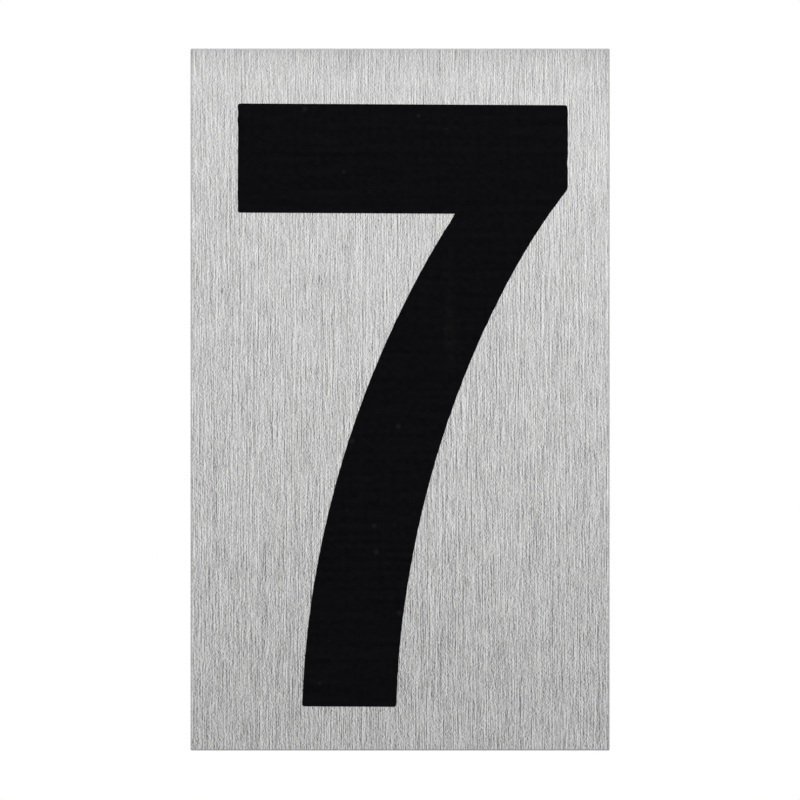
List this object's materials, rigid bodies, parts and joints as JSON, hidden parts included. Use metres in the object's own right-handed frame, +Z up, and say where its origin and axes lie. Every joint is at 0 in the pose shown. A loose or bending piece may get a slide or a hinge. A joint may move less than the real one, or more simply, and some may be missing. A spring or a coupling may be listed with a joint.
{
  "type": "door number plate",
  "caption": "Flat upright plate of brushed aluminium with a plain black printed figure on its face and foam tape on its back, bonded to a door to number it.",
  "frame": {"origin": "middle of the foam tape's outer face, where the plate meets the door", "axes": "+Z up the plate as it is read, +X to the reader's right, +Y into the door, so the figure faces -Y"},
  "size_m": [0.06, 0.0026, 0.1006],
  "materials": {
    "brushed_aluminium": "brushed upright, satin",
    "black_ink": "printed film, dull satin",
    "foam_tape": "closed-cell foam, matt"
  },
  "bodies": {
    "root": {"plate": "brushed_aluminium", "figure_seven": "black_ink", "adhesive_tape": "foam_tape"}
  },
  "joints": []
}
